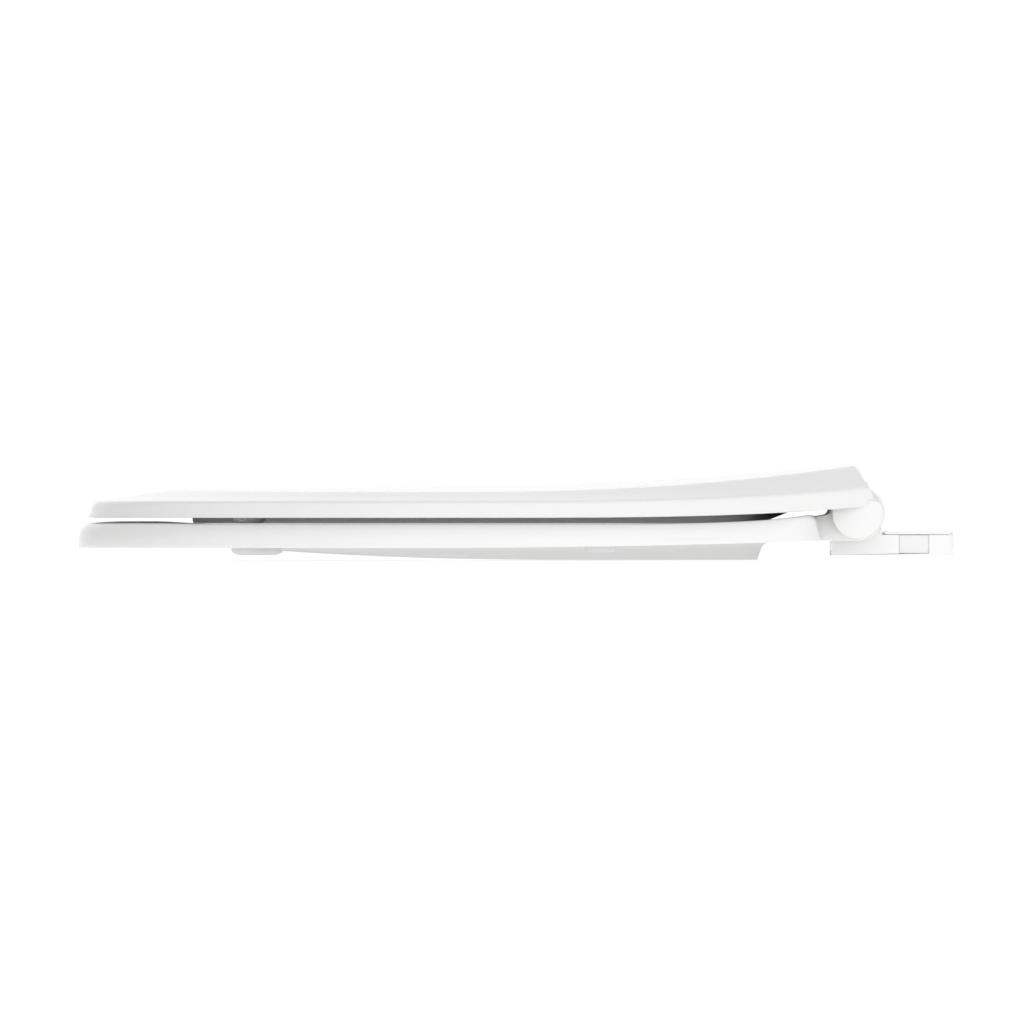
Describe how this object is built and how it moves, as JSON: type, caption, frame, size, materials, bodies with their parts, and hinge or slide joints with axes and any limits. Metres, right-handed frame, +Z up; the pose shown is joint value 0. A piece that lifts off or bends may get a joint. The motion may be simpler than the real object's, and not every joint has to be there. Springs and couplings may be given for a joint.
{
  "type": "electric bidet seat",
  "caption": "Slim white oval seat and lid on round rear hinges with quick-release brackets and a low spray unit between them.",
  "frame": {"origin": "midway between the two fixing bolts, on the plane of the bowl rim, which the underside of the unit rests on", "axes": "+X to the right of a person facing the hinge from the front, -Y to the front of the seat, +Z up"},
  "size_m": [0.365, 0.4903, 0.0533],
  "materials": {
    "gloss_white": "smooth gloss moulded white plastic",
    "satin_white": "satin moulded white plastic",
    "bumper_rubber": "soft light grey rubber",
    "steel": "brushed stainless steel",
    "nozzle_steel": "polished stainless tube",
    "foil": "thin heating foil",
    "dark_plastic": "dark satin plastic",
    "board": "green circuit board with black parts",
    "hose": "milky silicone hose"
  },
  "bodies": {
    "base": {"hinge_bracket_left": "gloss_white", "hinge_bracket_right": "gloss_white", "deck_pad_left": "bumper_rubber", "deck_pad_right": "bumper_rubber", "adjuster_disc_left": "steel", "adjuster_disc_right": "steel", "release_spring_left": "steel", "release_spring_right": "steel", "seat_damper": "dark_plastic", "lid_damper": "dark_plastic", "unit_base": "satin_white", "unit_cover": "gloss_white", "nozzle_guide": "satin_white", "nozzle_spring": "steel", "water_heater": "steel", "water_valve": "dark_plastic", "water_inlet": "satin_white", "spray_hose": "hose", "control_board": "board", "power_inlet": "dark_plastic"},
    "seat": {"seat_top": "gloss_white", "seat_base": "satin_white", "seat_heater": "foil", "seat_sensor": "dark_plastic", "seat_bumper_front_left": "bumper_rubber", "seat_bumper_front_right": "bumper_rubber", "seat_bumper_rear_left": "bumper_rubber", "seat_bumper_rear_right": "bumper_rubber", "hinge_bush_left": "satin_white", "hinge_bush_right": "satin_white", "hinge_pin_right": "steel"},
    "lid": {"lid_shell": "gloss_white", "lid_inner_panel": "satin_white", "lid_bumper_left": "bumper_rubber", "lid_bumper_right": "bumper_rubber", "hinge_pin_left": "steel"},
    "bolt_cover_left": {"bolt_cover_left": "gloss_white"},
    "bolt_cover_right": {"bolt_cover_right": "gloss_white"},
    "release_button_left": {"release_button_left": "satin_white"},
    "release_button_right": {"release_button_right": "satin_white"},
    "nozzle_sleeve": {"nozzle_sleeve": "nozzle_steel"},
    "nozzle_tube": {"nozzle_tube": "nozzle_steel", "nozzle_tip": "satin_white"},
    "power_button": {"power_button": "satin_white"},
    "wash_button": {"wash_button": "satin_white"}
  },
  "joints": [
    {"name": "seat_hinge", "type": "hinge", "parent": "base", "child": "seat", "pos_m": [0, -0.0328, 0.0235], "axis": [-1, 0, 0], "range_deg": [0, 95]},
    {"name": "lid_hinge", "type": "hinge", "parent": "seat", "child": "lid", "pos_m": [0, -0.0328, 0.0235], "axis": [1, 0, 0], "range_deg": [-100, 0]},
    {"name": "bolt_cover_left_hinge", "type": "hinge", "parent": "base", "child": "bolt_cover_left", "pos_m": [-0.06875, 0.01975, 0.01265], "axis": [-1, 0, 0], "range_deg": [0, 100]},
    {"name": "release_button_left_slide", "type": "slide", "parent": "base", "child": "release_button_left", "axis": [1, 0, 0], "range_m": [0, 0.0025], "stiffness_N_per_m": 400, "springref_m": -0.001, "deforming": ["release_spring_left"]},
    {"name": "bolt_cover_right_hinge", "type": "hinge", "parent": "base", "child": "bolt_cover_right", "pos_m": [0.06875, 0.01975, 0.01265], "axis": [-1, 0, 0], "range_deg": [0, 100]},
    {"name": "release_button_right_slide", "type": "slide", "parent": "base", "child": "release_button_right", "axis": [-1, 0, 0], "range_m": [0, 0.0025], "stiffness_N_per_m": 400, "springref_m": -0.001, "deforming": ["release_spring_right"]},
    {"name": "nozzle_slide", "type": "slide", "parent": "base", "child": "nozzle_sleeve", "axis": [0, -1, 0], "range_m": [0, 0.042], "stiffness_N_per_m": 20, "springref_m": -0.01, "deforming": ["nozzle_spring"]},
    {"name": "nozzle_extend", "type": "slide", "parent": "nozzle_sleeve", "child": "nozzle_tube", "axis": [0, -1, 0], "range_m": [0, 0.042]},
    {"name": "power_button_press", "type": "slide", "parent": "base", "child": "power_button", "axis": [0, 0, -1], "range_m": [0, 0.0012], "stiffness_N_per_m": 500, "springref_m": -0.001},
    {"name": "wash_button_press", "type": "slide", "parent": "base", "child": "wash_button", "axis": [0, 0, -1], "range_m": [0, 0.0012], "stiffness_N_per_m": 500, "springref_m": -0.001}
  ],
  "couplings": [
    {"joint": "nozzle_extend", "follows": "nozzle_slide", "ratio": 1}
  ]
}
